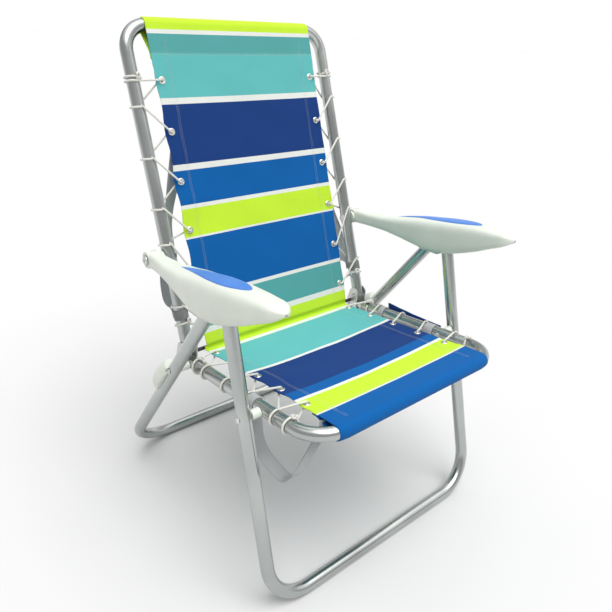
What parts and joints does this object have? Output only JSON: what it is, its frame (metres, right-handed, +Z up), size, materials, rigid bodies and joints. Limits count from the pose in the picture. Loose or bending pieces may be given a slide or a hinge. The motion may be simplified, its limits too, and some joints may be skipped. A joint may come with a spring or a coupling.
{
  "type": "beach chair",
  "caption": "Folding beach chair with a laced striped sling on bent tube frames, moulded arms and a reclining back.",
  "frame": {"origin": "middle of the footprint on the floor, chair open and upright", "axes": "+Z up, -Y the way the sitter faces, +X to the right of someone who looks at the chair from the front"},
  "size_m": [0.634, 0.642, 0.9663],
  "materials": {
    "frame_tube": "satin, straw-bright along the edges",
    "plated_steel": "satin zinc",
    "black_rod": "semi-gloss",
    "moulded_cream": "satin moulding",
    "inlay_blue": "satin",
    "striped_cloth": "woven, striped across",
    "grommet_metal": "bright nickel",
    "elastic_cord": "braided",
    "pouch_cloth": "woven",
    "webbing": "woven webbing",
    "strap_cloth": "padded cloth"
  },
  "bodies": {
    "seat": {"seat_frame": "frame_tube", "seat_end_plugs": "moulded_cream", "hinge_bracket_left": "plated_steel", "hinge_bracket_right": "plated_steel", "bracket_rivets": "plated_steel", "hinge_rivets": "plated_steel", "rear_cross_rod": "black_rod", "front_pivot_spacers": "moulded_cream", "front_pivot_rivets": "plated_steel", "rear_pivot_spacers": "moulded_cream", "rear_pivot_rivets": "plated_steel", "seat_sling": "striped_cloth", "seat_grommets_left": "grommet_metal", "seat_grommets_right": "grommet_metal", "seat_lacing_left": "elastic_cord", "seat_lacing_right": "elastic_cord", "storage_pouch": "pouch_cloth", "pouch_loops": "webbing", "carry_strap": "webbing", "carry_strap_loops": "webbing"},
    "back": {"back_frame": "frame_tube", "back_end_plugs": "moulded_cream", "arm_bolts": "plated_steel", "arm_spacers": "moulded_cream", "back_sling": "striped_cloth", "back_grommets_left": "grommet_metal", "back_grommets_right": "grommet_metal", "back_lacing_left": "elastic_cord", "back_lacing_right": "elastic_cord", "shoulder_strap_left": "strap_cloth", "shoulder_strap_right": "strap_cloth", "shoulder_strap_anchors": "webbing"},
    "arm_left_body": {"arm_left": "moulded_cream", "arm_inlay_left": "inlay_blue", "arm_rack_left": "plated_steel"},
    "arm_right_body": {"arm_right": "moulded_cream", "arm_inlay_right": "inlay_blue", "arm_rack_right": "plated_steel"},
    "front_legs": {"front_leg_frame": "frame_tube", "front_leg_eyes": "moulded_cream", "front_leg_pins": "plated_steel"},
    "rear_legs": {"rear_leg_frame": "frame_tube", "rear_leg_caps": "moulded_cream", "rear_leg_saddles": "moulded_cream", "rear_lock_pins": "plated_steel"}
  },
  "joints": [
    {"name": "back_hinge", "type": "hinge", "parent": "seat", "child": "back", "pos_m": [0, 0.0836, 0.373], "axis": [1, 0, 0], "range_deg": [-16, 91]},
    {"name": "arm_pivot_left", "type": "hinge", "parent": "back", "child": "arm_left_body", "pos_m": [0, 0.1432, 0.54708], "axis": [1, 0, 0], "range_deg": [-91.1, 16.1]},
    {"name": "arm_pivot_right", "type": "hinge", "parent": "back", "child": "arm_right_body", "pos_m": [0, 0.1432, 0.54708], "axis": [1, 0, 0], "range_deg": [-91.1, 16.1]},
    {"name": "front_leg_pivot", "type": "hinge", "parent": "seat", "child": "front_legs", "pos_m": [0, -0.17226, 0.36819], "axis": [1, 0, 0], "range_deg": [-16.1, 91.1]},
    {"name": "rear_leg_pivot", "type": "hinge", "parent": "seat", "child": "rear_legs", "pos_m": [0, 0.0607, 0.34616], "axis": [1, 0, 0], "range_deg": [-7.28, 40.91]}
  ],
  "couplings": [
    {"joint": "arm_pivot_left", "follows": "back_hinge", "ratio": -1},
    {"joint": "arm_pivot_right", "follows": "back_hinge", "ratio": -1},
    {"joint": "front_leg_pivot", "follows": "back_hinge", "ratio": 1},
    {"joint": "rear_leg_pivot", "follows": "back_hinge", "ratio": 0.4485}
  ]
}
